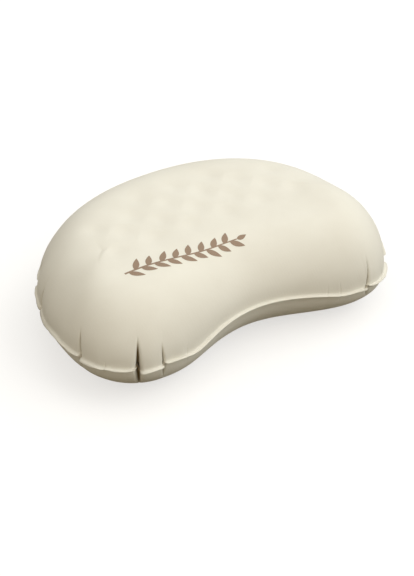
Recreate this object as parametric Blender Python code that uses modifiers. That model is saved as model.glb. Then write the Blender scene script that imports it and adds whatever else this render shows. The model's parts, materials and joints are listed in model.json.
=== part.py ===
"""Camp pillow: a kidney-shaped inflatable cushion with a two-stage air valve.

Two laminate panels are welded together round a flat edge, and straps inside tie the top to the bottom. The
valve is welded into the rear slope of the bottom panel: a socket, a plug that opens to let the air out, and in
the plug a one-way flap with a cap over it for blowing the pillow up.

Metres, +Z up. The origin is on the ground under the middle of the pillow, +X runs along its length and +Y
points to its round back, so the hollow neck side faces -Y.
"""

import math

import bmesh
import bpy
import numpy as np
from mathutils import Matrix, Vector
from mathutils.bvhtree import BVHTree

GAP = 0.0003  # between pieces that touch

# The outline over the welded edge, seen from above
LENGTH = 0.420
BACK_REACH = 0.199  # from the widest line to the back
FRONT_REACH = 0.130  # from the widest line to the front, before the neck side is drawn in
NECK_DIP = 0.055  # how far the middle of the neck side is drawn in
NECK_HALF_WIDTH = 0.189  # where that dip has faded away
BACK_FULLNESS = 2.21  # exponent of the superellipse: 2 is an ellipse, more is squarer
FRONT_FULLNESS = 2.39
DIP_END = 0.02  # the share of the half length over which the dip closes, so that front and back meet

# The section
HEIGHT = 0.122
CROWN = 0.012  # how much the top swells on its way from the weld to the middle line, over its rounded side
SEAM_HEIGHT = 0.051
NECK_RISE = 0.008  # how much higher the weld runs at the middle of the neck side
NECK_RISE_REACH = 0.140  # how far from the middle that rise has gone
EDGE_WIDTH = 0.006  # the welded edge
WALL = 0.0008
TOP_ROUND = 0.070  # how far in from the edge the top's rounded side ends
BOTTOM_ROUND = 0.074  # how far in from the edge the bottom meets the ground
SPINE_MARGIN = 0.012  # from the end of a rounded side to the end of the spine
OVER_SHARES = (0.4, 0.8)  # where the rings past the rounded side lie, as shares of the way to the spine
CROWN_BEND = 0.6  # the share of the crown's run that lies over the rounded side
TOP_COLUMNS, TOP_STEPS = 80, 9
BOTTOM_COLUMNS, BOTTOM_STEPS = 104, 13

# The straps that tie the top panel to the bottom one
TIE_PITCH = 0.048  # along a row
TIE_ROW_PITCH = 0.026
TIE_FIRST_ROW_Y = -0.026
TIE_ROWS = (6, 5, 6, 3)  # straps in each row, front to back
TIE_WIDTH = 0.012
TIE_TAB = 0.014  # the end of the strap that is folded flat and welded to the panel
TIE_THICKNESS = 0.0008

# The valve: its own Z points out of the panel, and its Y points down the slope
VALVE_X = 0.090
VALVE_SLOPE = math.radians(35)  # how far down the rounded side: 0 is at the seam, 90 on the ground
VALVE_SINK = 0.0025  # the panel is drawn flat round the valve, this far in
SEAT_FLAT, SEAT_FADE = 0.031, 0.041  # radii within which that flat is full, and beyond which it is gone
PATCH_RADIUS, PATCH_THICKNESS = 0.022, 0.0006
BASE_RADIUS, BASE_THICKNESS = 0.0185, 0.0012
BORE_RADIUS = 0.0095
SOCKET_WALL = 0.0015
SOCKET_DEPTH = 0.0045
RIM_RISE, RIM_WIDTH = 0.0008, 0.0025
HOLE_CLEARANCE = 0.0004
PLUG_CLEARANCE = 0.0004
PLUG_OVERHANG = 0.0002  # of the plug's lid past the socket's rim
PLUG_THICKNESS = 0.0015
PLUG_DEPTH = 0.0055
PLUG_TAPER = 0.0008
PLUG_WALL = 0.0016
FLAP_SEAT_THICKNESS, FLAP_SEAT_WIDTH = 0.0008, 0.0013
FLAP_THICKNESS = 0.0007
FLAP_LAP = 0.0012  # of the flap past the hole that it closes
CAP_HOLE_RADIUS = 0.0062
CAP_LAP = 0.0034  # of the cap past the hole that it closes
CAP_THICKNESS = 0.0015
CAP_STEM_DEPTH = 0.0030
CAP_STEM_TAPER = 0.0006
STRAP_THICKNESS = 0.0005
STRAP_WIDTH = 0.007
ARM_THICKNESS = 0.0008
TAB_LENGTH, TAB_WIDTH = 0.0040, 0.008
HINGE_REACH = 0.0023  # from the edge of a lid to its hinge line
ROUND_SIDES = 32

# Where the valve's levels and radii come from
PATCH_BASE = GAP
FLANGE_BASE = PATCH_BASE + PATCH_THICKNESS + GAP
FLANGE_TOP = FLANGE_BASE + BASE_THICKNESS
RIM_TOP = FLANGE_TOP + RIM_RISE
PLUG_BASE = RIM_TOP + GAP
PLUG_TOP = PLUG_BASE + PLUG_THICKNESS
SKIRT_END = PLUG_BASE - PLUG_DEPTH
FLAP_TOP = SKIRT_END - GAP
CAP_BASE = PLUG_TOP + GAP
CAP_TOP = CAP_BASE + CAP_THICKNESS
SOCKET_RADIUS = BORE_RADIUS + SOCKET_WALL
PANEL_HOLE_RADIUS = SOCKET_RADIUS + HOLE_CLEARANCE
RIM_RADIUS = BORE_RADIUS + RIM_WIDTH
LID_RADIUS = RIM_RADIUS + PLUG_OVERHANG
SKIRT_RADIUS = BORE_RADIUS - PLUG_CLEARANCE
SKIRT_END_RADIUS = SKIRT_RADIUS - PLUG_TAPER
FLAP_HOLE_RADIUS = SKIRT_END_RADIUS - PLUG_WALL - FLAP_SEAT_WIDTH
FLAP_RADIUS = FLAP_HOLE_RADIUS + FLAP_LAP
CAP_RADIUS = CAP_HOLE_RADIUS + CAP_LAP
PLUG_HINGE = (-LID_RADIUS - HINGE_REACH, (PLUG_BASE + PLUG_TOP) / 2)  # X and Z of each hinge line
CAP_HINGE = (CAP_RADIUS + HINGE_REACH, CAP_TOP - ARM_THICKNESS / 2)
FLAP_HINGE = (-FLAP_RADIUS, FLAP_TOP - FLAP_THICKNESS / 2)


# ---------------------------------------------------------------- scene, materials and small tools


def clear_scene():
    for obj in list(bpy.data.objects):
        bpy.data.objects.remove(obj, do_unlink=True)


def collection(name):
    made = bpy.data.collections.new(name)
    bpy.context.scene.collection.children.link(made)
    return made


def material(name, color, roughness, metallic=0.0):
    made = bpy.data.materials.new(name)
    made.use_nodes = True
    shader = made.node_tree.nodes["Principled BSDF"]
    shader.inputs["Base Color"].default_value = (*color, 1.0)
    shader.inputs["Roughness"].default_value = roughness
    shader.inputs["Metallic"].default_value = metallic
    return made


def add_object(name, mesh, finish, parent=None):
    obj = bpy.data.objects.new(name, mesh)
    PILLOW.objects.link(obj)
    obj.data.materials.append(finish)
    obj.parent = parent
    return obj


def add_tool(name, mesh, parent):
    """A cutter, or a block that is joined to another piece: it isn't a piece of the pillow."""
    obj = bpy.data.objects.new(name, mesh)
    TOOLS.objects.link(obj)
    obj.parent = parent
    obj.hide_render = True
    obj.display_type = "WIRE"
    return obj


def add_empty(name, matrix, parent=None):
    obj = bpy.data.objects.new(name, None)
    PILLOW.objects.link(obj)
    obj.parent = parent
    obj.matrix_local = matrix
    return obj


def boolean(obj, tool, operation):
    modifier = obj.modifiers.new(operation.title() + " " + tool.name, "BOOLEAN")
    modifier.operation = operation
    modifier.object = tool


def block_mesh(name, low, high):
    """A box between two corners."""
    size = [h - l for l, h in zip(low, high)]
    middle = [(h + l) / 2 for l, h in zip(low, high)]
    bm = bmesh.new()
    bmesh.ops.create_cube(bm, matrix=Matrix.Translation(middle) @ Matrix.Diagonal((*size, 1)))
    mesh = bpy.data.meshes.new(name)
    bm.to_mesh(mesh)
    bm.free()
    return mesh


def cylinder_mesh(name, radius, low, high):
    bm = bmesh.new()
    bmesh.ops.create_cone(
        bm,
        cap_ends=True,
        segments=ROUND_SIDES,
        radius1=radius,
        radius2=radius,
        depth=high - low,
        matrix=Matrix.Translation((0, 0, (low + high) / 2)),
    )
    mesh = bpy.data.meshes.new(name)
    bm.to_mesh(mesh)
    bm.free()
    return mesh


def turned(name, profile, finish, parent, closed=True):
    """A piece turned from (radius, height) points about the valve's own Z. The points run down the outer side."""
    count = len(profile)
    edges = [(i, (i + 1) % count) for i in range(count if closed else count - 1)]
    mesh = bpy.data.meshes.new(name)
    mesh.from_pydata([(r, 0, z) for r, z in profile], edges, [])
    obj = add_object(name, mesh, finish, parent)
    screw = obj.modifiers.new("Turn", "SCREW")
    screw.steps = screw.render_steps = ROUND_SIDES
    screw.use_merge_vertices = True
    screw.merge_threshold = 0.00001
    return obj


# ---------------------------------------------------------------- outline and panels


def back_line(x):
    """The back of the outline, as distance behind the widest line."""
    share = np.clip(np.abs(x) / (LENGTH / 2), 0, 1)
    return BACK_REACH * (1 - share**BACK_FULLNESS) ** (1 / BACK_FULLNESS)


def front_line(x):
    """The front of the outline: a superellipse that is drawn in round its middle for the neck."""
    share = np.clip(np.abs(x) / (LENGTH / 2), 0, 1)
    dip = NECK_DIP * np.cos(math.pi / 2 * np.clip(np.abs(x) / NECK_HALF_WIDTH, 0, 1)) ** 2
    front = FRONT_REACH * (1 - share**FRONT_FULLNESS) ** (1 / FRONT_FULLNESS)
    return dip * np.minimum(1, (1 - share) / DIP_END) - front


def middle_y():
    """What is taken off every Y so that the outline's box is centred."""
    x = np.linspace(-LENGTH / 2, LENGTH / 2, 4001)
    return (front_line(x).min() + back_line(x).max()) / 2


def outline(count):
    """Points at equal steps round the outline, anticlockwise from the middle of the front."""
    turn = np.linspace(-math.pi / 2, 1.5 * math.pi, 4001)
    x = LENGTH / 2 * np.cos(turn)
    y = np.where(np.sin(turn) < 0, front_line(x), back_line(x)) - middle_y()
    distance = np.append(0, np.cumsum(np.hypot(np.diff(x), np.diff(y))))
    steps = np.arange(count) / count * distance[-1]
    return np.stack([np.interp(steps, distance, x), np.interp(steps, distance, y)], 1)


def inward(line):
    """The direction that points into the outline at each of its points."""
    along = np.roll(line, -1, 0) - np.roll(line, 1, 0)
    return np.stack([-along[:, 1], along[:, 0]], 1) / np.linalg.norm(along, axis=1, keepdims=True)


def seam_level(line):
    """The height of the weld at each point: it is higher along the middle of the neck side."""
    rise = np.maximum(0, 1 - (line[:, 0] / NECK_RISE_REACH) ** 2) ** 2
    return SEAM_HEIGHT + NECK_RISE * rise * (line[:, 1] < 0)


def spine(edge, rounding):
    """For each point of the edge, the point of the pillow's middle line that its cross-section runs to."""
    half = LENGTH / 2 - EDGE_WIDTH - rounding - SPINE_MARGIN
    x = edge[:, 0] * half / (LENGTH / 2 - EDGE_WIDTH)
    return np.stack([x, (front_line(x) + back_line(x)) / 2 - middle_y()], 1)


def side_point(edge, target, rounding, level, end, angle):
    """A quarter of an ellipse from the edge at its level to the end of the side at another, this angle along it."""
    to_spine = (target - edge) / np.linalg.norm(target - edge, axis=1, keepdims=True)
    flat = edge + to_spine * rounding * (1 - math.cos(angle))
    height = (level + (end - level) * math.sin(angle)) * np.ones(len(edge))
    return np.column_stack([flat, height])


def swell(share):
    """How much of the crown has been reached at a share of its run: it starts at once and ends level."""
    return 1 - (1 - share) ** 2


def panel_rings(rounding, offset, end, crown, columns, steps):
    """Rings of points from the outer edge of the weld, up or down the rounded side and on to the middle line."""
    end -= crown * swell(CROWN_BEND + (1 - CROWN_BEND) * OVER_SHARES[-1])
    weld = outline(columns)
    level = seam_level(weld) + offset
    edge = weld + inward(weld) * EDGE_WIDTH
    target = spine(edge, rounding)
    rings = [np.column_stack([weld, level])]
    for step in range(steps + 1):
        angle = math.pi / 2 * step / steps
        side = side_point(edge, target, rounding, level, end, angle)
        side[:, 2] += crown * swell(CROWN_BEND * (1 - math.cos(angle)))
        rings.append(side)
    for share in OVER_SHARES:
        flat = rings[steps + 1][:, :2] * (1 - share) + target * share
        height = end + crown * swell(CROWN_BEND + (1 - CROWN_BEND) * share)
        rings.append(np.column_stack([flat, np.full(columns, height)]))
    return rings


def panel(name, rings, facing_up, finish):
    """A shell whose outer face runs through these rings, closed by one flat face inside the last of them."""
    columns = len(rings[0])
    points = np.vstack(rings)
    faces = []
    for row in range(len(rings) - 1):
        for column in range(columns):
            after = (column + 1) % columns
            first, second = row * columns, (row + 1) * columns
            faces.append((first + column, first + after, second + after, second + column))
    faces.append(tuple(range((len(rings) - 1) * columns, len(rings) * columns)))
    if not facing_up:
        faces = [face[::-1] for face in faces]
    mesh = bpy.data.meshes.new(name)
    mesh.from_pydata(points.tolist(), [], faces)
    mesh.shade_smooth()
    mesh.set_sharp_from_angle(angle=math.radians(40))
    obj = add_object(name, mesh, finish)
    shell = obj.modifiers.new("Wall", "SOLIDIFY")
    shell.thickness = WALL
    shell.offset = -1
    shell.use_even_offset = True
    return obj


# ---------------------------------------------------------------- valve


def valve_matrix():
    """Where the valve sits: on the bottom panel's rear slope, with its Z out of the panel and Y down the slope."""
    level = SEAM_HEIGHT - GAP / 2 - WALL
    weld = outline(4000)
    edge = weld + inward(weld) * EDGE_WIDTH
    behind = np.where(edge[:, 1] > 0)[0]
    index = behind[np.argmin(np.abs(edge[behind, 0] - VALVE_X))]
    chosen = edge[index : index + 1]
    target = spine(chosen, BOTTOM_ROUND)
    point = Vector(side_point(chosen, target, BOTTOM_ROUND, level, 0, VALVE_SLOPE)[0])
    along = Vector((*(edge[index - 1] - edge[index + 1]), 0)).normalized()
    outward = along.cross(Vector((0, 0, 1)))
    if outward.y < 0:
        outward = -outward
    normal = outward * (math.cos(VALVE_SLOPE) / BOTTOM_ROUND)
    normal += Vector((0, 0, -math.sin(VALVE_SLOPE) / level))
    normal.normalize()
    down = normal.cross(along).normalized()
    if down.z > 0:
        down, along = -down, -along
    place = Matrix((along, down, normal)).transposed().to_4x4()
    place.translation = point - normal * VALVE_SINK
    return place


def flatten_seat(rings, place):
    """Draws the panel onto the plane of the valve's seat, fully inside one radius and not at all beyond another."""
    centre = np.array(place.translation)
    normal = np.array(place.col[2][:3])
    for ring in rings[2:]:
        offset = ring - centre
        height = offset @ normal
        radius = np.linalg.norm(offset - height[:, None] * normal, axis=1)
        share = np.clip((SEAT_FADE - radius) / (SEAT_FADE - SEAT_FLAT), 0, 1)
        share = share * share * (3 - 2 * share)
        ring -= (share * height)[:, None] * normal
        ring[:, 2] = np.maximum(ring[:, 2], 0)


def make_patch(parent):
    inner, outer = PANEL_HOLE_RADIUS, PATCH_RADIUS
    low, high = PATCH_BASE, PATCH_BASE + PATCH_THICKNESS
    turned("valve_patch", [(inner, high), (outer, high), (outer, low), (inner, low)], PATCH, parent)


def make_base(parent):
    profile = [
        (BORE_RADIUS, RIM_TOP),
        (RIM_RADIUS, RIM_TOP),
        (RIM_RADIUS, FLANGE_TOP),
        (BASE_RADIUS, FLANGE_TOP),
        (BASE_RADIUS, FLANGE_BASE),
        (SOCKET_RADIUS, FLANGE_BASE),
        (SOCKET_RADIUS, -SOCKET_DEPTH),
        (BORE_RADIUS, -SOCKET_DEPTH),
    ]
    turned("valve_base", profile, VALVE, parent)


def make_plug_strap(parent):
    """The flat strap that holds the plug to the base: it passes just under the hinge line."""
    half = STRAP_WIDTH / 2
    low = (-BASE_RADIUS, -half, FLANGE_TOP + GAP)
    high = (-RIM_RADIUS - GAP, half, FLANGE_TOP + GAP + STRAP_THICKNESS)
    add_object("plug_strap", block_mesh("plug_strap", low, high), VALVE, parent)


def make_plug(parent, shift):
    """The plug: a lid over the rim, a tapered skirt in the bore and a seat for the one-way flap at its end."""
    inner = SKIRT_END_RADIUS - PLUG_WALL
    seat_top = SKIRT_END + FLAP_SEAT_THICKNESS
    profile = [
        (CAP_HOLE_RADIUS, PLUG_TOP),
        (LID_RADIUS, PLUG_TOP),
        (LID_RADIUS, PLUG_BASE),
        (SKIRT_RADIUS, PLUG_BASE),
        (SKIRT_END_RADIUS, SKIRT_END),
        (FLAP_HOLE_RADIUS, SKIRT_END),
        (FLAP_HOLE_RADIUS, seat_top),
        (inner, seat_top),
        (inner, PLUG_BASE),
        (CAP_HOLE_RADIUS, PLUG_BASE),
    ]
    plug = turned("deflate_plug", profile, VALVE, parent)
    plug.location = shift
    sink = RIM_WIDTH / 2
    arm_low = (PLUG_HINGE[0] + GAP, -STRAP_WIDTH / 2, PLUG_BASE)
    arm_high = (-LID_RADIUS + sink, STRAP_WIDTH / 2, PLUG_TOP)
    tab_low = (LID_RADIUS - sink, -TAB_WIDTH / 2, PLUG_BASE)
    tab_high = (LID_RADIUS + TAB_LENGTH, TAB_WIDTH / 2, PLUG_TOP)
    for name, low, high in (("plug_arm", arm_low, arm_high), ("plug_tab", tab_low, tab_high)):
        tool = add_tool(name, block_mesh(name, low, high), parent)
        tool.location = shift
        boolean(plug, tool, "UNION")


def make_flap(parent, shift):
    profile = [(0, FLAP_TOP), (FLAP_RADIUS, FLAP_TOP), (FLAP_RADIUS, FLAP_TOP - FLAP_THICKNESS)]
    profile.append((0, FLAP_TOP - FLAP_THICKNESS))
    flap = turned("check_flap", profile, FLAP, parent, closed=False)
    flap.location = shift


def make_cap_strap(parent, shift):
    half = STRAP_WIDTH / 2
    low = (CAP_RADIUS + GAP, -half, PLUG_TOP + GAP)
    high = (LID_RADIUS + TAB_LENGTH / 2, half, PLUG_TOP + GAP + STRAP_THICKNESS)
    strap = add_object("cap_strap", block_mesh("cap_strap", low, high), VALVE, parent)
    strap.location = shift


def make_cap(parent, shift):
    """The cap: a disc with a short tapered stem that plugs the hole in the lid of the plug."""
    stem = CAP_HOLE_RADIUS - PLUG_CLEARANCE
    profile = [
        (0, CAP_TOP),
        (CAP_RADIUS, CAP_TOP),
        (CAP_RADIUS, CAP_BASE),
        (stem, CAP_BASE),
        (stem - CAP_STEM_TAPER, CAP_BASE - CAP_STEM_DEPTH),
        (0, CAP_BASE - CAP_STEM_DEPTH),
    ]
    cap = turned("inflate_cap", profile, VALVE, parent, closed=False)
    cap.location = shift
    sink = CAP_LAP / 2
    arm_low = (CAP_RADIUS - sink, -STRAP_WIDTH / 2, CAP_TOP - ARM_THICKNESS)
    arm_high = (CAP_HINGE[0] - GAP, STRAP_WIDTH / 2, CAP_TOP)
    tab_low = (-CAP_RADIUS - TAB_LENGTH, -TAB_WIDTH / 2, CAP_TOP - ARM_THICKNESS)
    tab_high = (-CAP_RADIUS + sink, TAB_WIDTH / 2, CAP_TOP)
    for name, low, high in (("cap_arm", arm_low, arm_high), ("cap_tab", tab_low, tab_high)):
        tool = add_tool(name, block_mesh(name, low, high), parent)
        tool.location = shift
        boolean(cap, tool, "UNION")


def make_valve(place):
    """Each moving piece hangs from an empty on its hinge line, and the cap and flap move with the plug."""
    frame = add_empty("valve_frame", place)
    make_patch(frame)
    make_base(frame)
    make_plug_strap(frame)
    plug_line = Vector((PLUG_HINGE[0], 0, PLUG_HINGE[1]))
    cap_line = Vector((CAP_HINGE[0], 0, CAP_HINGE[1]))
    flap_line = Vector((FLAP_HINGE[0], 0, FLAP_HINGE[1]))
    plug_axis = add_empty("plug_axis", Matrix.Translation(plug_line), frame)
    make_plug(plug_axis, -plug_line)
    make_cap_strap(plug_axis, -plug_line)
    make_cap(add_empty("cap_axis", Matrix.Translation(cap_line - plug_line), plug_axis), -cap_line)
    make_flap(add_empty("flap_axis", Matrix.Translation(flap_line - plug_line), plug_axis), -flap_line)
    return frame


# ---------------------------------------------------------------- tie straps


def inner_level(tree, x, y, upwards, start):
    """How far the panel's inner face leaves free over a tab, from rays at its corners, sides and middle."""
    levels = []
    for across in (-TIE_TAB / 2, 0, TIE_TAB / 2):
        for along in (-TIE_WIDTH / 2, 0, TIE_WIDTH / 2):
            direction = Vector((0, 0, 1 if upwards else -1))
            hit = tree.ray_cast(Vector((x + across, y + along, start)), direction)[0]
            levels.append(hit.z)
    return min(levels) - GAP if upwards else max(levels) + GAP


def make_tie(name, x, y, low, high):
    """A strap folded to a C: a flat outline that stands in the XZ plane, as thick as the strap is wide."""
    half, wall = TIE_TAB / 2, TIE_THICKNESS
    corners = [(-half, low), (half, low), (half, low + wall), (wall - half, low + wall)]
    corners += [(wall - half, high - wall), (half, high - wall), (half, high), (-half, high)]
    curve = bpy.data.curves.new(name, "CURVE")
    curve.dimensions = "2D"
    curve.fill_mode = "BOTH"
    curve.extrude = TIE_WIDTH / 2
    line = curve.splines.new("POLY")
    line.points.add(len(corners) - 1)
    for point, (across, height) in zip(line.points, corners):
        point.co = (across, height, 0, 1)
    line.use_cyclic_u = True
    tie = add_object(name, curve, TIE)
    tie.location = (x, y, 0)
    tie.rotation_euler = (math.pi / 2, 0, 0)


def make_ties(top, bottom):
    graph = bpy.context.evaluated_depsgraph_get()
    top_tree, bottom_tree = BVHTree.FromObject(top, graph), BVHTree.FromObject(bottom, graph)
    number = 0
    for row, count in enumerate(TIE_ROWS):
        y = TIE_FIRST_ROW_Y + row * TIE_ROW_PITCH
        for column in range(count):
            number += 1
            x = (column - (count - 1) / 2) * TIE_PITCH
            high = inner_level(top_tree, x, y, True, SEAM_HEIGHT)
            low = inner_level(bottom_tree, x, y, False, SEAM_HEIGHT)
            make_tie(f"tie_{number:02d}", x, y, low, high)


# ---------------------------------------------------------------- assembly


def build():
    place = valve_matrix()
    offset = GAP / 2 + WALL
    top_rings = panel_rings(TOP_ROUND, offset, HEIGHT, CROWN, TOP_COLUMNS, TOP_STEPS)
    bottom_rings = panel_rings(BOTTOM_ROUND, -offset, 0, 0, BOTTOM_COLUMNS, BOTTOM_STEPS)
    flatten_seat(bottom_rings, place)
    top = panel("top_panel", top_rings, True, LAMINATE)
    bottom = panel("bottom_panel", bottom_rings, False, LAMINATE)
    bpy.context.view_layer.update()
    make_ties(top, bottom)
    frame = make_valve(place)
    hole = cylinder_mesh("valve_hole", PANEL_HOLE_RADIUS, -SOCKET_DEPTH, SOCKET_DEPTH)
    boolean(bottom, add_tool("valve_hole", hole, frame), "DIFFERENCE")


clear_scene()
PILLOW = collection("camp_pillow")
TOOLS = collection("tools")
LAMINATE = material("brushed_laminate", (0.80, 0.77, 0.66), 0.85)
TIE = material("tie_laminate", (0.70, 0.68, 0.60), 0.60)
PATCH = material("patch_laminate", (0.62, 0.57, 0.46), 0.60)
VALVE = material("valve_tpu", (0.30, 0.24, 0.18), 0.45)
FLAP = material("flap_silicone", (0.75, 0.75, 0.72), 0.35)
build()
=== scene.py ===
"""Camp pillow, the finished look: an inflated kidney-shaped cushion of brushed laminate with a crimped welded
edge, dimples over its inner ties, a printed twig and a moulded two-stage valve on the rear underside."""

import json
import math

import bmesh
import bpy
import numpy as np
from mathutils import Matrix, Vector
from mathutils.bvhtree import BVHTree


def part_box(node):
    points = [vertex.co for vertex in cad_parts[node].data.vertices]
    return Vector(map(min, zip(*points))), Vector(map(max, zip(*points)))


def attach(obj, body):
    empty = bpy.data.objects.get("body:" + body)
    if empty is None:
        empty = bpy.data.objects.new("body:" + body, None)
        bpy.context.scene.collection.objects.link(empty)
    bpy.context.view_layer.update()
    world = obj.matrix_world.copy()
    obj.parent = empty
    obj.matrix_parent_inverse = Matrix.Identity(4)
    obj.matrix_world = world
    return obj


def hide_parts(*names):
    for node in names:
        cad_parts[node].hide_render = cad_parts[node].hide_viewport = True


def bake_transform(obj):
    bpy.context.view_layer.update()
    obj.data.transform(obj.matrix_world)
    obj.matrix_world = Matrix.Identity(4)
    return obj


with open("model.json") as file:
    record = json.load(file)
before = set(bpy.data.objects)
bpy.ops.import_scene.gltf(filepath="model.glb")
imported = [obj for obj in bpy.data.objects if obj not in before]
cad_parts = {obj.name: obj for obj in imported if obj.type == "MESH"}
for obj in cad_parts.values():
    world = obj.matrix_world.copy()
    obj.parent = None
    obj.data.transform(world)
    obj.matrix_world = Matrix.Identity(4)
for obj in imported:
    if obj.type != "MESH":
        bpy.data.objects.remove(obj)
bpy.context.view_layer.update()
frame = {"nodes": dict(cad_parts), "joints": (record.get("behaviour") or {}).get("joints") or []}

MM = 0.001

# Sizes that come from the frame
TOP_LOW, TOP_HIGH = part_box("top_panel")
LENGTH = TOP_HIGH.x - TOP_LOW.x
HEIGHT = TOP_HIGH.z
SEAM = 0.051  # the level at which the two panels are welded
NECK_RISE, NECK_RISE_REACH = 0.008, 0.140  # how much higher that is at the middle of the neck side, and how far

# The kidney outline over the welded edge, in metres, as the panels are cut
BACK_REACH, FRONT_REACH = 0.199, 0.130
BACK_FULLNESS, FRONT_FULLNESS = 2.21, 2.39
NECK_DIP, NECK_HALF_WIDTH, DIP_END = 0.055, 0.189, 0.02
EDGE_WIDTH = 0.0042  # the flat rim that shows; the rest of the weld is drawn up by the air
TOP_ROUND, BOTTOM_ROUND = 0.070, 0.074  # how far in a panel's rounded side reaches
TOP_FULLNESS, BOTTOM_FULLNESS = 2.15, 2.05
CROWN = 0.012  # how much the top swells on its way from the weld to the middle line, over its rounded side
CROWN_BEND = 0.6  # the share of the crown's run that lies over the rounded side
SPINE_MARGIN = 0.012
SIDE_ROWS, OVER_ROWS = 38, 16  # rings up a panel's rounded side, and from there to the middle line
LAMINATE = 0.00035  # the real thickness of one panel
SWELL = 0.0019  # how far the top swells between the ties
TIE_SPREAD, TIE_PULL = 0.013, 0.0006  # the width of a tie's dimple, and how far a tie lifts the bottom
OVER_LENGTH = 0.04  # the run from the rounded side to the middle line, as a round length

# Crimps of the welded edge: angle round the outline in degrees (0 is the right end, 90 the back, -90 the neck),
# depth, half width, reach up the top and down the bottom in millimetres, and lean along the edge per unit of reach
CRIMPS = (
    (-169.0, 5.5, 3.6, 33, 22, -0.05),
    (-155.5, 1.2, 4.0, 7, 10, 0.00),
    (-141.0, 11.5, 4.4, 34, 44, 0.03),
    (-129.5, 5.5, 3.4, 26, 22, -0.06),
    (-119.0, 0.7, 5.0, 11, 10, 0.00),
    (-65.5, 0.7, 3.5, 14, 10, 0.05),
    (-60.5, 0.8, 3.0, 17, 12, -0.05),
    (-47.8, 5.5, 3.6, 36, 24, 0.22),
    (-35.0, 1.2, 5.0, 12, 20, 0.00),
    (-21.5, 8.5, 4.4, 24, 26, -0.10),
    (3.0, 6.0, 4.5, 28, 24, 0.08),
    (24.0, 7.5, 5.0, 32, 30, -0.05),
    (43.0, 4.0, 4.0, 24, 20, 0.10),
    (61.0, 6.5, 4.5, 28, 26, 0.00),
    (79.0, 3.0, 4.0, 20, 20, 0.00),
    (95.0, 6.0, 4.5, 26, 24, -0.08),
    (113.0, 4.5, 4.0, 24, 22, 0.06),
    (131.0, 6.5, 4.5, 28, 26, 0.00),
    (149.5, 7.5, 4.4, 28, 26, 0.00),
    (163.0, 7.5, 4.2, 26, 24, 0.05),
)
SLIT = 0.14  # half the open width of a crimp's slit, as a share of its depth
DEEPEST = 11.5  # the depth in millimetres at which a slit's painted shade is as dark as it gets
STRONG = 2  # a crimp shallower than this, in millimetres, doesn't part two swells
SIDE_COLUMNS = 430  # columns along the back, and as many along the front
CRIMP_DENSITY, CRIMP_SPREAD = 11.0, 0.012  # how much denser columns are at a crimp, and over what angle

# The flat seat of the valve in the bottom panel, in metres
SEAT_RADIUS, SEAT_BLEND, SEAT_GAP = 0.031, 0.010, 0.0006
HOLE_RADIUS, HOLE_REACH = 0.0125, 0.03

# The print: where its stem starts and ends, and its leaves
STEM_START, STEM_END, STEM_POINTS = (-0.134, -0.0665), (0.013, -0.0735), 90
LEAVES, LEAF_STEP = 17, 5

# The view
AZIMUTH, ELEVATION, LENS = -32.65, 36.8, 36.0 * 1384 / 576
TARGET, DISTANCE = (-0.0066, -0.0314, 0.03), 1.621


# ---------------------------------------------------------------- small tools


def linear(code):
    """An sRGB hex colour as linear red, green, blue and alpha."""
    parts = [int(code[i : i + 2], 16) / 255 for i in (1, 3, 5)]
    return (*[c / 12.92 if c <= 0.04045 else ((c + 0.055) / 1.055) ** 2.4 for c in parts], 1.0)


def smooth(t):
    """0 below 0, 1 above 1 and an even S between them."""
    t = np.clip(t, 0, 1)
    return t * t * (3 - 2 * t)


def quads(rows, columns, turn=False):
    """The faces of a grid of points, row by row; turn joins its last column to its first."""
    across = np.arange(columns if turn else columns - 1)
    down = np.arange(rows - 1)[:, None] * columns
    after = (across + 1) % columns
    corners = [down + across, down + after, down + columns + after, down + columns + across]
    return np.stack(corners, -1).reshape(-1, 4)


def surface(name, points, faces, finish, flip=False):
    """A mesh object from an array of points and one of four-sided faces, smooth shaded."""
    faces = faces[:, ::-1] if flip else faces
    mesh = bpy.data.meshes.new(name)
    mesh.vertices.add(len(points))
    mesh.vertices.foreach_set("co", np.ascontiguousarray(points, np.float32).ravel())
    mesh.loops.add(faces.size)
    mesh.loops.foreach_set("vertex_index", np.ascontiguousarray(faces, np.int32).ravel())
    mesh.polygons.add(len(faces))
    mesh.polygons.foreach_set("loop_start", np.arange(0, faces.size, faces.shape[1], dtype=np.int32))
    mesh.update(calc_edges=True)
    mesh.validate()
    mesh.shade_smooth()
    mesh.materials.append(finish)
    obj = bpy.data.objects.new(name, mesh)
    bpy.context.scene.collection.objects.link(obj)
    return obj


def add_node(tree, kind, links=(), **settings):
    """One node, with settings by name, values by input name and links from other nodes' outputs."""
    node = tree.nodes.new(kind)
    for key, value in settings.items():
        if key == "inputs":
            for name, number in value.items():
                node.inputs[name].default_value = number
        else:
            setattr(node, key, value)
    for source, output, socket in links:
        tree.links.new(source.outputs[output], node.inputs[socket])
    return node


def new_material(name, color, roughness, **inputs):
    """A Principled material with its constants on the shader's own sockets; returns it with its tree and shader."""
    made = bpy.data.materials.new(name)
    made.use_nodes = True
    shader = made.node_tree.nodes["Principled BSDF"]
    shader.inputs["Base Color"].default_value = linear(color)
    shader.inputs["Roughness"].default_value = roughness
    for key, value in inputs.items():
        shader.inputs[key.replace("_", " ")].default_value = value
    return made, made.node_tree, shader


def two_tones(tree, shader, factor, output, first, second):
    """The base colour runs from one tone to another with a factor."""
    mix = add_node(tree, "ShaderNodeMix", data_type="RGBA")
    mix.inputs["A"].default_value, mix.inputs["B"].default_value = linear(first), linear(second)
    tree.links.new(factor.outputs[output], mix.inputs["Factor"])
    tree.links.new(mix.outputs["Result"], shader.inputs["Base Color"])
    return mix


# ---------------------------------------------------------------- materials


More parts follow.
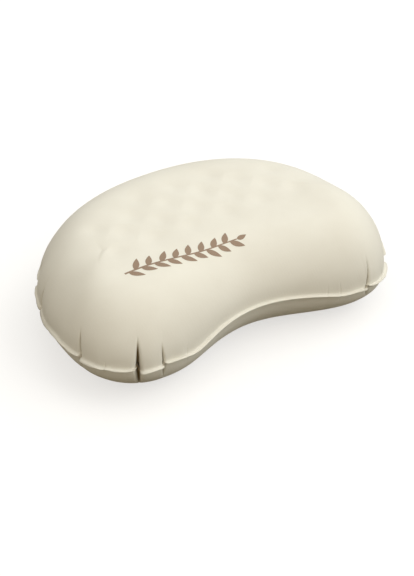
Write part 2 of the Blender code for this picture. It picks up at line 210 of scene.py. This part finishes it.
def brushed_laminate(name, light, shade):
    """75-denier polyester plain weave with a brushed face, film-coated inside: matt, with a faint soft bloom.
    Deep in a crimp, where the cloth is folded on itself, it is painted browner: painted shade for the slit's
    shadow.

    The threads are about 0.3 mm apart, too fine to show, so the weave is drawn at 3.4 mm."""
    made, tree, shader = new_material(name, light, 0.82, Sheen_Weight=0.22, Sheen_Roughness=0.45)
    place = add_node(tree, "ShaderNodeTexCoord")
    turned = add_node(tree, "ShaderNodeMapping", [(place, "Object", "Vector")])
    turned.inputs["Rotation"].default_value = (0.35, 0.25, math.radians(8))
    repeat = 3.4375 * MM
    bands = [
        add_node(tree, "ShaderNodeTexWave", [(turned, "Vector", "Vector")], bands_direction=axis,
                 inputs={"Scale": 2 * math.pi / 20 / repeat, "Distortion": 0.8, "Detail": 1.0, "Detail Scale": 1.5})
        for axis in ("X", "Y")
    ]
    weave = add_node(tree, "ShaderNodeMath", [(bands[0], "Fac", 0), (bands[1], "Fac", 1)], operation="MULTIPLY")
    nap = add_node(tree, "ShaderNodeTexNoise", [(place, "Object", "Vector")],
                   inputs={"Scale": 900.0, "Detail": 3.0, "Roughness": 0.7})
    mottle = add_node(tree, "ShaderNodeTexNoise", [(place, "Object", "Vector")],
                      inputs={"Scale": 14.0, "Detail": 4.0, "Roughness": 0.55})
    tone = add_node(tree, "ShaderNodeMapRange", [(mottle, "Fac", "Value")],
                    inputs={"From Min": 0.3, "From Max": 0.75})
    cloth = two_tones(tree, shader, tone, "Result", light, shade)
    # painted shade: this attribute mixes the cloth towards brown deep in the crimps' slits, in place of their
    # shadow
    slit_shade = add_node(tree, "ShaderNodeAttribute", attribute_name="slit_shade")
    slit_shaded = add_node(tree, "ShaderNodeMix", [(slit_shade, "Fac", "Factor"), (cloth, "Result", "A")], data_type="RGBA")
    slit_shaded.inputs["B"].default_value = linear("#82704d")
    tree.links.new(slit_shaded.outputs["Result"], shader.inputs["Base Color"])
    soft = add_node(tree, "ShaderNodeMapRange", [(nap, "Fac", "Value")],
                    inputs={"To Min": 0.74, "To Max": 0.92})
    tree.links.new(soft.outputs["Result"], shader.inputs["Roughness"])
    bumped = add_node(tree, "ShaderNodeBump", [(weave, "Value", "Height")],
                      inputs={"Strength": 0.16, "Distance": 0.12 * MM})
    fuzzy = add_node(tree, "ShaderNodeBump", [(nap, "Fac", "Height"), (bumped, "Normal", "Normal")],
                     inputs={"Strength": 0.12, "Distance": 0.15 * MM})
    tree.links.new(fuzzy.outputs["Normal"], shader.inputs["Normal"])
    return made


def moulded_tpu(name, light, shade, roughness):
    """Injection-moulded TPU: satin, with the fine spark-eroded grain of its mould, drawn at 0.5 mm."""
    made, tree, shader = new_material(name, light, roughness, IOR=1.5)
    place = add_node(tree, "ShaderNodeTexCoord")
    grain = add_node(tree, "ShaderNodeTexNoise", [(place, "Object", "Vector")],
                     inputs={"Scale": 2000.0, "Detail": 2.0, "Roughness": 0.6})
    cloud = add_node(tree, "ShaderNodeTexNoise", [(place, "Object", "Vector")],
                     inputs={"Scale": 90.0, "Detail": 3.0, "Roughness": 0.5})
    two_tones(tree, shader, cloud, "Fac", light, shade)
    polish = add_node(tree, "ShaderNodeMapRange", [(grain, "Fac", "Value")],
                      inputs={"To Min": roughness - 0.08, "To Max": roughness + 0.10})
    tree.links.new(polish.outputs["Result"], shader.inputs["Roughness"])
    bumped = add_node(tree, "ShaderNodeBump", [(grain, "Fac", "Height")],
                      inputs={"Strength": 0.25, "Distance": 0.05 * MM})
    tree.links.new(bumped.outputs["Normal"], shader.inputs["Normal"])
    return made


def clear_silicone(name):
    """Cast silicone sheet: milky, soft and a little glossy."""
    made, tree, shader = new_material(name, "#d9d7cf", 0.3, IOR=1.41, Subsurface_Weight=0.3)
    place = add_node(tree, "ShaderNodeTexCoord")
    dust = add_node(tree, "ShaderNodeTexNoise", [(place, "Object", "Vector")],
                    inputs={"Scale": 300.0, "Detail": 3.0, "Roughness": 0.6})
    two_tones(tree, shader, dust, "Fac", "#dddbd4", "#c9c6bc")
    return made


def screen_ink(name):
    """Screen-printed ink on brushed cloth: matt brown, thinner where the nap stands proud."""
    made, tree, shader = new_material(name, "#8f7a66", 0.7)
    place = add_node(tree, "ShaderNodeTexCoord")
    nap = add_node(tree, "ShaderNodeTexNoise", [(place, "Object", "Vector")],
                   inputs={"Scale": 700.0, "Detail": 3.0, "Roughness": 0.7})
    two_tones(tree, shader, nap, "Fac", "#86705c", "#9c8875")
    bumped = add_node(tree, "ShaderNodeBump", [(nap, "Fac", "Height")],
                      inputs={"Strength": 0.2, "Distance": 0.1 * MM})
    tree.links.new(bumped.outputs["Normal"], shader.inputs["Normal"])
    return made


# ---------------------------------------------------------------- the cushion's outline and columns


def back_line(x):
    """The back of the outline: a quarter superellipse each side, as distance behind the widest line."""
    share = np.clip(np.abs(x) / (LENGTH / 2), 0, 1)
    return BACK_REACH * (1 - share**BACK_FULLNESS) ** (1 / BACK_FULLNESS)


def front_line(x):
    """The front of the outline: a superellipse less a squared cosine that draws the neck side in."""
    share = np.clip(np.abs(x) / (LENGTH / 2), 0, 1)
    dip = NECK_DIP * np.cos(math.pi / 2 * np.clip(np.abs(x) / NECK_HALF_WIDTH, 0, 1)) ** 2
    front = FRONT_REACH * (1 - share**FRONT_FULLNESS) ** (1 / FRONT_FULLNESS)
    return dip * np.minimum(1, (1 - share) / DIP_END) - front


def seam_level(line):
    """The height of the weld at each point: it is higher along the middle of the neck side."""
    rise = np.maximum(0, 1 - (line[:, 0] / NECK_RISE_REACH) ** 2) ** 2
    return SEAM + NECK_RISE * rise * (line[:, 1] < 0)


def middle_y():
    x = np.linspace(-LENGTH / 2, LENGTH / 2, 4001)
    return (front_line(x).min() + back_line(x).max()) / 2


def outline_at(turn):
    """The outline's points at these angles: x is the cosine's share of the half length."""
    x = LENGTH / 2 * np.cos(turn)
    y = np.where(np.sin(turn) < 0, front_line(x), back_line(x)) - middle_y()
    return np.stack([x, y], -1)


def outward_at(turn):
    """The outline's outward directions, from the points a little before and after."""
    step = 1e-3
    along = outline_at(turn + step) - outline_at(turn - step)
    return np.stack([along[:, 1], -along[:, 0]], -1) / np.linalg.norm(along, axis=1, keepdims=True)


def column_turns(side_count, crimp_turns, sharpness, spread):
    """Angles for the columns of one side, closer together at the crimps: equal steps of a density's running sum."""
    turn = np.linspace(0, math.pi, 6001)
    path = outline_at(turn)
    speed = np.append(0, np.linalg.norm(np.diff(path, axis=0), axis=1))
    density = np.ones_like(turn)
    for place in crimp_turns:
        gap = (turn - abs(place)) / spread
        density += sharpness / (1 + gap * gap)
    total = np.cumsum(speed * density)
    return np.interp(np.linspace(0, total[-1], side_count + 1), total, turn)


def edge_distance(turn):
    """Distance along the outline from the angle -180 degrees, and the whole way round."""
    fine = np.linspace(-math.pi, math.pi, 12001)
    path = outline_at(fine)
    run = np.append(0, np.cumsum(np.linalg.norm(np.diff(path, axis=0), axis=1)))
    return np.interp(turn, fine, run), run[-1]


# ---------------------------------------------------------------- crimps, swells and dimples


def crimp_press(along, down, around, tops):
    """How far each point is pressed in by the crimps, as two round shoulders beside an open slit that fade with
    reach, and how deep in a slit it lies, from 0 to 1, which sets how dark the painted shade there is."""
    press = np.zeros((len(down), len(along)))
    slit_shade = np.zeros_like(press)
    for angle, depth, half, up, under, lean in CRIMPS:
        reach = (up if tops else under) * MM
        place = edge_distance(math.radians(angle))[0]
        fade = np.clip(1 - down / reach, 0, 1)
        gap = along[None, :] - place - lean * down[:, None]
        gap = np.abs((gap + around / 2) % around - around / 2)
        width = half * MM * (0.35 + 0.65 * fade)[:, None]
        slit = SLIT * depth * MM * (fade**0.6)[:, None]
        near = 1 - np.clip((gap - slit) / width, 0, 1)
        press += depth * MM * fade[:, None] * (1 - np.sqrt(np.maximum(0, 1 - near * near)))
        inside = smooth((1.2 * slit + 0.6 * MM - gap) / (0.8 * MM)) * smooth(2.2 * fade)[:, None]
        slit_shade = np.maximum(slit_shade, min(depth / DEEPEST, 1) * inside)
    return press, slit_shade


def scallop_swell(along, down, around):
    """Between two crimps the cushion swells: a flat-topped arch whose height grows with their gap and fades with
    reach."""
    strong = [c for c in CRIMPS if c[1] > STRONG]
    places = np.sort([edge_distance(math.radians(c[0]))[0] for c in strong])
    places = np.concatenate([[places[-1] - around], places, [places[0] + around]])
    right = np.searchsorted(places, along)
    gap = places[right] - places[right - 1]
    share = (along - places[right - 1]) / gap
    height = np.minimum(gap * 0.05, 2.0 * MM) * (gap < 0.11)
    arch = (4 * share * (1 - share)) ** 0.7
    return (height * arch)[None, :] * np.exp(-((down / 0.026) ** 2))[:, None]


def slack_ripple(along, down, around, phase):
    """Small slack waves along the edge: three sines of whole numbers of waves, dying out within 30 mm."""
    turn = 2 * math.pi * along / around
    wave = np.sin(23 * turn + phase) + 0.7 * np.sin(37 * turn + 2.1 * phase) + 0.5 * np.sin(61 * turn + 0.7 * phase)
    return 0.28 * MM * wave[None, :] * np.exp(-((down / 0.018) ** 2))[:, None]


def edge_lift(along, around):
    """How the welded edge waves up and down: sines, and at each crimp one side up and the other down."""
    turn = 2 * math.pi * along / around
    lift = 0.9 * MM * (np.sin(9 * turn + 0.8) + 0.8 * np.sin(14 * turn + 2.0))
    for number, (angle, depth, *_) in enumerate(CRIMPS):
        gap = along - edge_distance(math.radians(angle))[0]
        gap = (gap + around / 2) % around - around / 2
        side = 1 if number % 2 else -1
        lift += side * 0.22 * depth * MM * np.tanh(gap / (1.2 * MM)) * np.exp(-np.abs(gap) / (9 * MM))
    return lift


def bell(turn, centre, width):
    """1 at this angle in degrees, falling away either side as a bell of this width."""
    gap = (np.degrees(turn) - centre + 180) % 360 - 180
    return np.exp(-((gap / width) ** 2))


def seam_sag(turn):
    """How the welded edge sags where the air holds it up least: beside the neck and round the right lobe."""
    return -12 * MM * bell(turn, -38, 27) - 7 * MM * bell(turn, -116, 10)


def rim_curl(turn):
    """How far the flat rim turns down, as an angle: it stands up a little, but on the left end it folds down."""
    return np.radians(62 * bell(turn, 162, 32) - 12)


def puckered(turn):
    """1 where the edge is crimped and 0 along the neck side, where the weld lies smooth."""
    angle = np.degrees(np.arctan2(np.sin(turn), np.cos(turn)))
    return 1 - smooth((angle + 124) / 14) * smooth((-angle - 58) / 14)


def tie_places():
    boxes = [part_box(name) for name in sorted(frame["nodes"]) if name.startswith("tie_")]
    return np.array([((low.x + high.x) / 2, (low.y + high.y) / 2) for low, high in boxes])


def tie_mask(x, y):
    """1 over a tie's weld and 0 between ties: the largest of one bell for each tie."""
    ties = tie_places()
    far = (x[..., None] - ties[:, 0]) ** 2 + (y[..., None] - ties[:, 1]) ** 2
    return np.exp(-far / TIE_SPREAD**2).max(-1)


# ---------------------------------------------------------------- the two panels


def spine(weld, rounding):
    """For each point of the outline, the point of the middle line that its cross-section runs to."""
    half = LENGTH / 2 - EDGE_WIDTH - rounding - SPINE_MARGIN
    x = weld[:, 0] * half / (LENGTH / 2)
    return np.stack([x, (front_line(x) + back_line(x)) / 2 - middle_y()], 1)


def side_section(rounding, rise, fullness, count):
    """Shares in and up a rounded side, a quarter superellipse, at equal steps of its length; and those lengths."""
    angle = np.linspace(0, math.pi / 2, 2001)
    inward = 1 - np.cos(angle) ** (2 / fullness)
    up = np.sin(angle) ** (2 / fullness)
    run = np.append(0, np.cumsum(np.hypot(np.diff(inward) * rounding, np.diff(up) * rise)))
    steps = np.linspace(0, run[-1], count + 1)
    return np.interp(steps, run, inward), np.interp(steps, run, up), steps


def grid_normals(points):
    """Directions across a closed grid, from the steps to its neighbours, pointing out of the top."""
    around = np.roll(points, -1, 1) - np.roll(points, 1, 1)
    down = np.gradient(points, axis=0)
    across = np.cross(around, down)
    length = np.linalg.norm(across, axis=2, keepdims=True)
    return across / np.maximum(length, 1e-12)


def panel_points(turn, tops):
    """The outer face of one panel as rings: three over the welded edge, then up the side and over to the spine."""
    rounding, fullness = (TOP_ROUND, TOP_FULLNESS) if tops else (BOTTOM_ROUND, BOTTOM_FULLNESS)
    weld = outline_at(turn)
    level = seam_level(weld) + seam_sag(turn) + (1 if tops else -1) * LAMINATE
    end = HEIGHT - CROWN if tops else 0.0
    outward = outward_at(turn)
    edge = weld - outward * EDGE_WIDTH
    target = spine(weld, rounding)
    to_spine = (target - edge) / np.linalg.norm(target - edge, axis=1, keepdims=True)
    inward, up, run = side_section(rounding, abs(end - SEAM), fullness, SIDE_ROWS)
    flat = edge[None] + to_spine[None] * (rounding * inward)[:, None, None]
    crown = CROWN if tops else 0.0
    height = level[None] + (end - level)[None] * up[:, None] + crown * (1 - (1 - CROWN_BEND * inward[:, None]) ** 2)
    side = np.concatenate([flat, height[..., None]], 2)
    shares = np.linspace(0, 1, OVER_ROWS + 1)[1:, None, None]
    over = flat[-1][None] * (1 - shares) + target[None] * shares
    rise = crown * (1 - ((1 - CROWN_BEND) * (1 - shares)) ** 2)
    over = np.concatenate([over, end + rise + 0 * over[..., :1]], 2)
    points = np.concatenate([side, over])
    normals = grid_normals(points) if tops else -grid_normals(points)
    upright = smooth(np.linspace(0, 1, OVER_ROWS))[:, None, None]
    normals[-OVER_ROWS:] = normals[-OVER_ROWS:] * (1 - upright) + upright * np.array((0, 0, 1 if tops else -1))
    reach = np.append(run, run[-1] + shares[:, 0, 0] * OVER_LENGTH)
    along, around = edge_distance(np.arctan2(np.sin(turn), np.cos(turn)))
    loose = puckered(turn)[None, :]
    # the second result is the mask of painted shade in the crimps' slits
    press, slit_shade = crimp_press(along, reach, around, tops)
    push = scallop_swell(along, reach, around) * loose - press
    push += slack_ripple(along, reach, around, 0.6 if tops else 1.9) * loose
    shape = points + push[..., None] * normals
    lift = edge_lift(along, around) * loose[0]
    shape[..., 2] += lift[None, :] * np.exp(-((reach / 0.016) ** 2))[:, None]
    mask = tie_mask(shape[..., 0], shape[..., 1])
    if tops:
        share = smooth(np.append(up, np.ones(OVER_ROWS)) ** 3)[:, None]
        shape[..., 2] += SWELL * (1 - mask) * share
    else:
        shape[..., 2] = np.maximum(shape[..., 2], 0)
        shape[SIDE_ROWS:, :, 2] += TIE_PULL * mask[SIDE_ROWS:]
    rim, curl = [], rim_curl(turn) * loose[0]
    for share in (1.0, 0.66, 0.33):
        ring = shape[0].copy()
        width = (EDGE_WIDTH + 0.45 * press[0]) * share
        ring[:, :2] += outward * (width * np.cos(curl))[:, None]
        ring[:, 2] += lift * share - width * np.sin(curl)
        rim.append(ring)
    return np.concatenate([np.array(rim), shape]), np.concatenate([slit_shade[:1].repeat(3, 0), slit_shade])


def valve_plane():
    """The valve's seat from its frame: the centre and outward direction of the round patch."""
    patch = frame["nodes"]["valve_patch"].data
    points = np.array([v.co for v in patch.vertices])
    centre = points.mean(0)
    normal = np.linalg.svd(points - centre)[2][2]
    return centre, normal * np.sign(normal[1])


def panel(name, turn, tops, finish):
    """A panel's skin: its rings closed along the spine, flat and open at the valve, its real thickness inward."""
    points, slit_shade = panel_points(turn, tops)
    rows, columns = points.shape[:2]
    faces = quads(rows, columns, turn=True)
    if not tops:
        centre, normal = valve_plane()
        offset = points - centre
        height = offset @ normal
        radius = np.linalg.norm(offset - height[..., None] * normal, axis=2)
        share = 1 - smooth((radius - SEAT_RADIUS) / SEAT_BLEND)
        share[:4] = 0
        points -= (share * (height + SEAT_GAP))[..., None] * normal
        points[..., 2] = np.maximum(points[..., 2], 0)
        in_hole = radius.reshape(-1)[faces].min(1) < HOLE_RADIUS
        near = np.abs(height.reshape(-1)[faces]).max(1) < HOLE_REACH
        faces = faces[~(in_hole & near)]
    obj = surface(name, points.reshape(-1, 3), faces, finish, flip=not tops)
    # the mask of painted shade in the slits, stored for the cloth's material
    layer = obj.data.attributes.new("slit_shade", "FLOAT", "POINT")
    layer.data.foreach_set("value", np.ascontiguousarray(slit_shade, np.float32).ravel())
    weld_doubles(obj)
    wall = obj.modifiers.new("Wall", "SOLIDIFY")
    wall.thickness, wall.offset = LAMINATE, -1
    return obj


def weld_doubles(obj, within=1e-6):
    """Merges the points that coincide, such as the two sides of a panel where they meet on the spine."""
    bm = bmesh.new()
    bm.from_mesh(obj.data)
    bmesh.ops.remove_doubles(bm, verts=bm.verts, dist=within)
    bmesh.ops.delete(bm, geom=[v for v in bm.verts if not v.link_faces], context="VERTS")
    bm.to_mesh(obj.data)
    bm.free()
    obj.data.shade_smooth()


def make_cushion(finish):
    crimps = [math.radians(c[0]) for c in CRIMPS]
    side = column_turns(SIDE_COLUMNS, crimps, CRIMP_DENSITY, CRIMP_SPREAD)
    turn = np.concatenate([side, -side[-2:0:-1]])
    top = panel("top_skin", turn, True, finish)
    bottom = panel("bottom_skin", turn, False, finish)
    for piece, node in ((top, "top_panel"), (bottom, "bottom_panel")):
        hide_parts(node)
        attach(piece, "cushion")
    return top, bottom


# ---------------------------------------------------------------- the print


def leaf(base, direction, length, width, rows=10):
    """A pointed oval from a base point: its half width is a sine of the share along it, and it bends a little."""
    share = np.linspace(0, 1, rows)
    side = np.array([-direction[1], direction[0]])
    centre = base + np.outer(share * length, direction) + np.outer(0.12 * length * share**2, side)
    half = width / 2 * np.sin(math.pi * share**0.8) ** 0.9
    steps = np.linspace(-1, 1, 5)
    return centre[:, None] + half[:, None, None] * steps[None, :, None] * side


def make_print(skin, finish):
    """A printed twig: a stem along a shallow wave, with leaves on both sides in turn, laid on the top skin."""
    start, end = np.array(STEM_START), np.array(STEM_END)
    along = (end - start) / np.linalg.norm(end - start)
    across = np.array([-along[1], along[0]])
    length = np.linalg.norm(end - start)
    share = np.linspace(0, 1, STEM_POINTS)
    wave = 1.6 * MM * np.sin(2 * math.pi * share * 1.25)
    line = start + np.outer(share * length * 0.96, along) + np.outer(wave, across)
    half = (1.3 - 0.6 * share) * MM
    patches = [line[:, None] + half[:, None, None] * np.linspace(-1, 1, 3)[None, :, None] * across]
    for number in range(LEAVES):
        at = 3 + number * LEAF_STEP
        sign = 1 if number % 2 else -1
        lean = math.radians(47 + 5 * math.sin(number * 2.3))
        direction = along * math.cos(lean) + across * sign * math.sin(lean)
        long = (19.0 - 0.16 * number + 1.2 * math.sin(number * 1.7)) * MM
        patches.append(leaf(line[at], direction, long, 7.4 * MM))
    patches.append(leaf(line[-1], along, 13 * MM, 6 * MM))
    tree = BVHTree.FromObject(skin, bpy.context.evaluated_depsgraph_get())
    points, faces, count = [], [], 0
    for patch in patches:
        rows, columns = patch.shape[:2]
        faces.append(quads(rows, columns) + count)
        for x, y in patch.reshape(-1, 2):
            hit, normal = tree.ray_cast(Vector((x, y, 0.3)), Vector((0, 0, -1)))[:2]
            points.append(hit + normal * 0.12 * MM)
        count += rows * columns
    mark = surface("printed_twig", np.array(points), np.concatenate(faces), finish)
    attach(mark, "cushion")
    return mark


# ---------------------------------------------------------------- the valve


def valve_frame():
    """The valve's own axes from its joints: Y is the cap's hinge axis, X is level and Z points out of the panel."""
    joints = {joint["name"]: joint for joint in frame["joints"]}
    y = Vector(joints["cap_hinge"]["axis"]).normalized()
    x = Vector((0, 0, 1)).cross(y).normalized()
    z = x.cross(y)
    origin = Vector(joints["plug_hinge"]["pos_m"]) + x * 14.5 * MM - z * 4.25 * MM
    return np.array(origin), np.array([x, y, z])


def placed(points):
    """Points of the valve's own frame, in millimetres, as points of the pillow's frame."""
    origin, axes = VALVE
    return origin + np.asarray(points, float) * MM @ axes


def rounded(profile, radius, closed=True, steps=4):
    """A line whose corners are replaced by parabolas that start and end this far from them, or nearly half an edge
    where the edge is short."""
    profile = [np.array(p, float) for p in profile]
    count, made = len(profile), []
    for i, here in enumerate(profile):
        if not closed and i in (0, count - 1):
            made.append(here)
            continue
        before, after = profile[i - 1], profile[(i + 1) % count]
        first = min(radius, 0.45 * np.linalg.norm(before - here)) / np.linalg.norm(before - here)
        last = min(radius, 0.45 * np.linalg.norm(after - here)) / np.linalg.norm(after - here)
        begin, finish = here + (before - here) * first, here + (after - here) * last
        for t in np.linspace(0, 1, steps):
            made.append((1 - t) ** 2 * begin + 2 * t * (1 - t) * here + t * t * finish)
    return np.array(made)


def turned(profile, radius=0.25, closed=True, segments=96):
    """The points and faces of a (radius, height) line with rounded corners, turned about the valve's axis."""
    line = rounded(profile, radius, closed)
    if closed:
        line = np.vstack([line, line[:1]])
    angle = np.arange(segments) / segments * 2 * math.pi
    points = np.stack(
        [np.outer(line[:, 0], np.cos(angle)), np.outer(line[:, 0], np.sin(angle)),
         np.broadcast_to(line[:, 1:2], (len(line), segments))], -1
    )
    return points.reshape(-1, 3), quads(len(line), segments, turn=True)


def slab(outline, low, high, edge=0.25):
    """A plate with this outline, its edges rounded by rings that step in and up by quarter circles, closed by
    fans."""
    outline = np.asarray(outline, float)
    step = np.roll(outline, -1, 0) - np.roll(outline, 1, 0)
    out = np.stack([step[:, 1], -step[:, 0]], -1) / np.linalg.norm(step, axis=1, keepdims=True)
    rings = [np.column_stack([np.broadcast_to(outline.mean(0), outline.shape), np.full(len(outline), low)])]
    bends = [(a, low + edge, -1) for a in np.linspace(math.pi / 2, 0, 5)]
    bends += [(a, high - edge, 1) for a in np.linspace(0, math.pi / 2, 5)]
    for angle, level, sign in bends:
        inset = edge * (1 - math.cos(angle))
        height = level + sign * edge * math.sin(angle)
        rings.append(np.column_stack([outline - out * inset, np.full(len(outline), height)]))
    rings.append(np.column_stack([np.broadcast_to(outline.mean(0), outline.shape), np.full(len(outline), high)]))
    return np.concatenate(rings), quads(len(rings), len(outline), turn=True)


def tongue(start, end, width, corner=1.6, count=8):
    """The outline of a tab from one X to another, its far corners round, anticlockwise."""
    half, sign = width / 2, math.copysign(1, end - start)
    turn = np.linspace(0, math.pi / 2, count)
    lower = np.stack([end - sign * corner * (1 - np.sin(turn)), -(half - corner * (1 - np.cos(turn)))], -1)
    upper = np.stack([end - sign * corner * (1 - np.cos(turn)), half - corner * (1 - np.sin(turn))], -1)
    points = np.concatenate([[(start, -half)], lower, upper, [(start, half)]])
    return points if sign > 0 else points[::-1]


def rib(x, width, low, high, thick=0.7):
    """A grip rib across a tab."""
    half = width / 2
    angle = np.linspace(0, 2 * math.pi, 24, endpoint=False)
    wide = half * np.sign(np.sin(angle)) * np.abs(np.sin(angle)) ** 0.35
    oval = np.stack([x + thick / 2 * np.cos(angle), wide], -1)
    return slab(oval, low, high, edge=0.2)


def ribbon(path, width, thick):
    """A strap that follows (x, z) points, as thick as given, with rounded long edges."""
    path = rounded(path, 1.0, closed=False, steps=7)
    along = np.gradient(path, axis=0)
    side = np.stack([-along[:, 1], along[:, 0]], -1) / np.linalg.norm(along, axis=1, keepdims=True)
    turn = np.linspace(0, 2 * math.pi, 20, endpoint=False)
    across = width / 2 * np.sign(np.cos(turn)) * np.abs(np.cos(turn)) ** 0.3
    height = thick / 2 * np.sign(np.sin(turn)) * np.abs(np.sin(turn)) ** 0.5
    ring = path[:, None, :] + side[:, None, :] * height[None, :, None]
    points = np.stack([ring[..., 0], np.broadcast_to(across, ring.shape[:2]), ring[..., 1]], -1)
    ends = [np.broadcast_to(points[i].mean(0), points[i].shape)[None] for i in (0, -1)]
    points = np.concatenate([ends[0], points, ends[1]])
    return points.reshape(-1, 3), quads(len(points), len(turn), turn=True)


def valve_piece(name, shells, finish, nodes, body=None):
    """One object of several closed shells in the valve's frame, which stands for these CAD nodes."""
    points, faces, count = [], [], 0
    for shell_points, shell_faces in shells:
        points.append(placed(shell_points))
        faces.append(shell_faces + count)
        count += len(shell_points)
    obj = surface(name, np.concatenate(points), np.concatenate(faces), finish)
    weld_doubles(obj, 1e-7)
    turn_outward(obj)
    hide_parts(*nodes)
    if body:
        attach(obj, body)
    return obj


def turn_outward(obj):
    """Turns each closed shell's faces to point out of it."""
    bm = bmesh.new()
    bm.from_mesh(obj.data)
    bmesh.ops.recalc_face_normals(bm, faces=bm.faces)
    bm.to_mesh(obj.data)
    bm.free()
    obj.data.shade_smooth()
    obj.data.set_sharp_from_angle(angle=math.radians(50))


def make_valve():
    film = [(11.5, 0.9)]
    for radius in (13.2, 14.4, 15.6, 19.4, 20.2, 21.0):
        film += [(radius - 0.25, 0.9), (radius - 0.12, 1.0), (radius + 0.12, 1.0), (radius + 0.25, 0.9)]
    film += [(22.0, 0.75), (22.0, 0.3), (11.5, 0.3)]
    valve_piece("patch_film", [turned(film, 0.08)], FILM, ["valve_patch"], "cushion")
    flange = [(9.5, 3.2), (12.0, 3.2), (12.0, 2.4), (15.4, 2.4), (15.7, 2.55), (16.3, 2.55), (16.6, 2.4),
              (18.5, 2.2), (18.5, 1.2), (11.0, 1.2), (11.0, -4.5), (9.5, -4.5)]
    valve_piece("valve_socket", [turned(flange)], TPU, ["valve_base"], "cushion")
    lid = [(6.2, 5.0), (9.9, 5.0), (10.5, 5.0), (10.8, 5.2), (11.5, 5.2), (12.2, 4.9), (12.2, 3.5), (9.1, 3.5),
           (8.3, -2.0), (5.4, -2.0), (5.4, -1.2), (6.7, -1.2), (6.7, 3.5), (6.2, 3.5)]
    plug = [turned(lid), slab(tongue(11.0, 16.2, 8.0), 3.5, 5.0), slab(tongue(-11.0, -13.9, 7.0, 0.6), 3.5, 5.0)]
    plug += [rib(15.1, 6.0, 4.8, 5.25)]
    valve_piece("deflate_lid", plug, TPU, ["deflate_plug"], "plug")
    valve_piece("one_way_flap", [turned([(0.0, -2.3), (6.6, -2.3), (6.6, -3.0), (0.0, -3.0)], 0.3, closed=False)],
                SILICONE, ["check_flap"], "flap")
    top = [(0.0, 6.5), (5.6, 6.5), (6.4, 6.8), (9.0, 6.8), (9.6, 6.5), (9.6, 5.3), (5.8, 5.3), (5.2, 2.3),
           (0.0, 2.3)]
    cap = [turned(top, 0.3, closed=False), slab(tongue(8.0, 11.3, 7.0, 0.6), 6.0, 6.8)]
    cap += [slab(tongue(-8.0, -12.4, 8.0), 6.0, 6.8)] + [rib(x, 6.0, 6.6, 7.05) for x in (-10.3, -11.5)]
    valve_piece("inflate_lid", cap, TPU, ["inflate_cap"], "cap")
    strap = valve_piece("plug_hinge_strap", [ribbon([(-17.6, 2.3), (-17.6, 4.25), (-12.4, 4.25)], 6.6, 0.6)],
                        TPU, ["plug_strap"])
    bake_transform(strap)
    strap = valve_piece("cap_hinge_strap", [ribbon([(14.0, 4.9), (14.0, 6.4), (10.6, 6.4)], 6.6, 0.6)],
                        TPU, ["cap_strap"])
    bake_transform(strap)


# ---------------------------------------------------------------- stage


def make_stage():
    floor_tone, tree, shader = new_material("lit_paper_table", "#aaaaa9", 0.9)
    shader.inputs["Emission Color"].default_value = linear("#ffffff")
    shader.inputs["Emission Strength"].default_value = 0.62
    half = 3.0
    corners = np.array([(-half, -half, 0), (half, -half, 0), (half, half, 0), (-half, half, 0)])
    floor = surface("floor", corners, np.array([[0, 1, 2, 3]]), floor_tone)
    floor.visible_diffuse = floor.visible_glossy = False
    world = bpy.data.worlds.new("studio")
    world.use_nodes = True
    tree = world.node_tree
    direction = add_node(tree, "ShaderNodeTexCoord")
    split = add_node(tree, "ShaderNodeSeparateXYZ", [(direction, "Generated", "Vector")])
    height = add_node(tree, "ShaderNodeMapRange", [(split, "Z", "Value")], interpolation_type="SMOOTHSTEP",
                      inputs={"From Min": -0.20, "From Max": 0.32})
    mix = add_node(tree, "ShaderNodeMix", [(height, "Result", "Factor")], data_type="RGBA")
    mix.inputs["A"].default_value, mix.inputs["B"].default_value = linear("#5c4e2a"), linear("#d3d1cb")
    tree.links.new(mix.outputs["Result"], tree.nodes["Background"].inputs["Color"])
    bpy.context.scene.world = world
    for name, place, spread, power, tone in (
        ("overhead_softbox", (0.25, 0.0, 1.0), 50, 0.36, "#fffefb"),
        ("front_softbox", (0.80, -0.75, 0.90), 45, 1.05, "#fffefb"),
        ("right_softbox", (1.0, 0.25, 0.6), 40, 0.62, "#ffffff"),
        ("left_bounce", (-0.7, -0.6, 0.75), 50, 0.42, "#ffdcae"),
    ):
        lamp = bpy.data.lights.new(name, "SUN")
        lamp.angle, lamp.energy = math.radians(spread), power
        lamp.color = linear(tone)[:3]
        obj = bpy.data.objects.new(name, lamp)
        obj.rotation_euler = (-Vector(place)).to_track_quat("-Z", "Y").to_euler()
        bpy.context.scene.collection.objects.link(obj)
    bpy.context.scene.view_settings.view_transform = "Standard"


def make_camera():
    """A camera on the left front, looking down at the pillow."""
    azimuth, elevation = math.radians(AZIMUTH), math.radians(ELEVATION)
    level = math.cos(elevation)
    back = Vector((math.sin(azimuth) * level, -math.cos(azimuth) * level, math.sin(elevation)))
    data = bpy.data.cameras.new("camera")
    data.sensor_width = 36.0
    data.lens = LENS
    camera = bpy.data.objects.new("camera", data)
    camera.location = Vector(TARGET) + back * DISTANCE
    camera.rotation_mode = "QUATERNION"
    camera.rotation_quaternion = (-back).to_track_quat("-Z", "Y")
    bpy.context.scene.collection.objects.link(camera)
    bpy.context.scene.camera = camera


make_camera()
make_stage()
CLOTH = brushed_laminate("brushed_polyester_laminate", "#e3e2d8", "#dcdacf")
TPU = moulded_tpu("satin_tpu", "#5d5145", "#54493e", 0.42)
FILM = moulded_tpu("weld_film", "#b3a892", "#a89c86", 0.5)
STRIP = brushed_laminate("tie_strip", "#cfc8b5", "#c6bea9")
SILICONE = clear_silicone("valve_silicone")
INK = screen_ink("brown_print")
top_skin, bottom_skin = make_cushion(CLOTH)
VALVE = valve_frame()
make_print(top_skin, INK)
make_valve()
for node_name, node in frame["nodes"].items():
    finish = STRIP if node_name.startswith("tie_") else FILM if node_name == "valve_patch" else TPU
    finish = SILICONE if node_name == "check_flap" else finish
    node.data.materials.clear()
    node.data.materials.append(finish)
